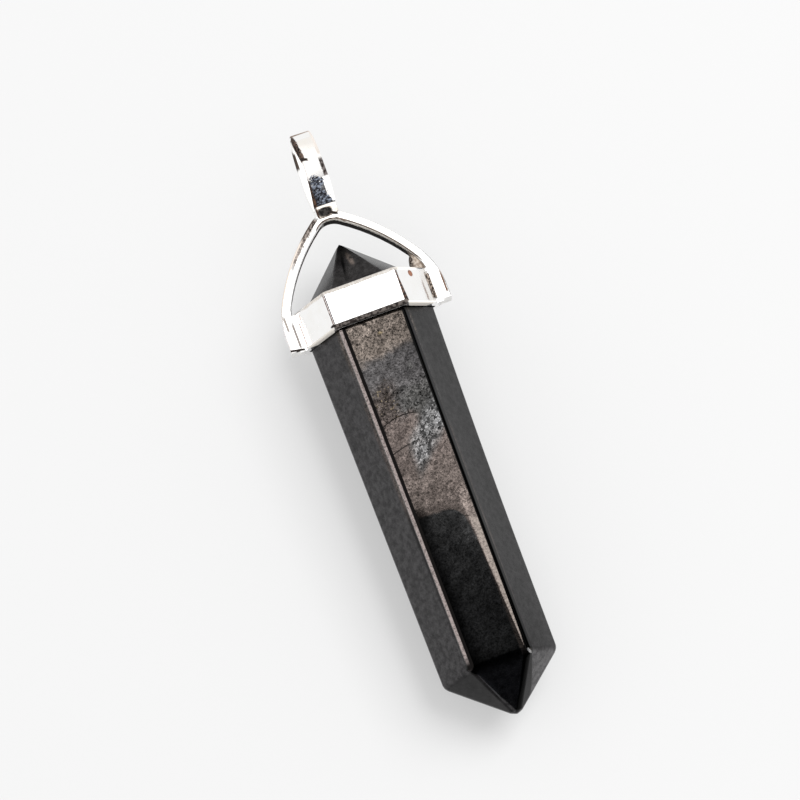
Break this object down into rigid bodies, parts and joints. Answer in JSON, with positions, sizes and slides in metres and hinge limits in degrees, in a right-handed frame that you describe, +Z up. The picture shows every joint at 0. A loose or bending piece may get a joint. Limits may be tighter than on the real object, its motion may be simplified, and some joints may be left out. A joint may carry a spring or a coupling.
{
  "type": "six-sided stone point pendant",
  "caption": "Pendant: a polished six-sided black stone point held in a silver-plated cap with a pointed arch and a loop for a cord or chain.",
  "frame": {"origin": "middle of the bounding box at the surface that the pendant lies on", "axes": "+Y along the pendant toward its loop, +Z up out of the front facet, +X to the right seen from the front"},
  "size_m": [0.0106, 0.0394, 0.0084],
  "materials": {
    "polished_stone": "polished graphite-black shungite with brown and grey mottling, fine pits and a few hairline cracks",
    "silver_plate": "bright silver plate over a cast cap, slightly uneven, with pits and brown tarnish in its corners"
  },
  "bodies": {
    "root": {"stone": "polished_stone", "cap": "silver_plate"}
  },
  "joints": []
}
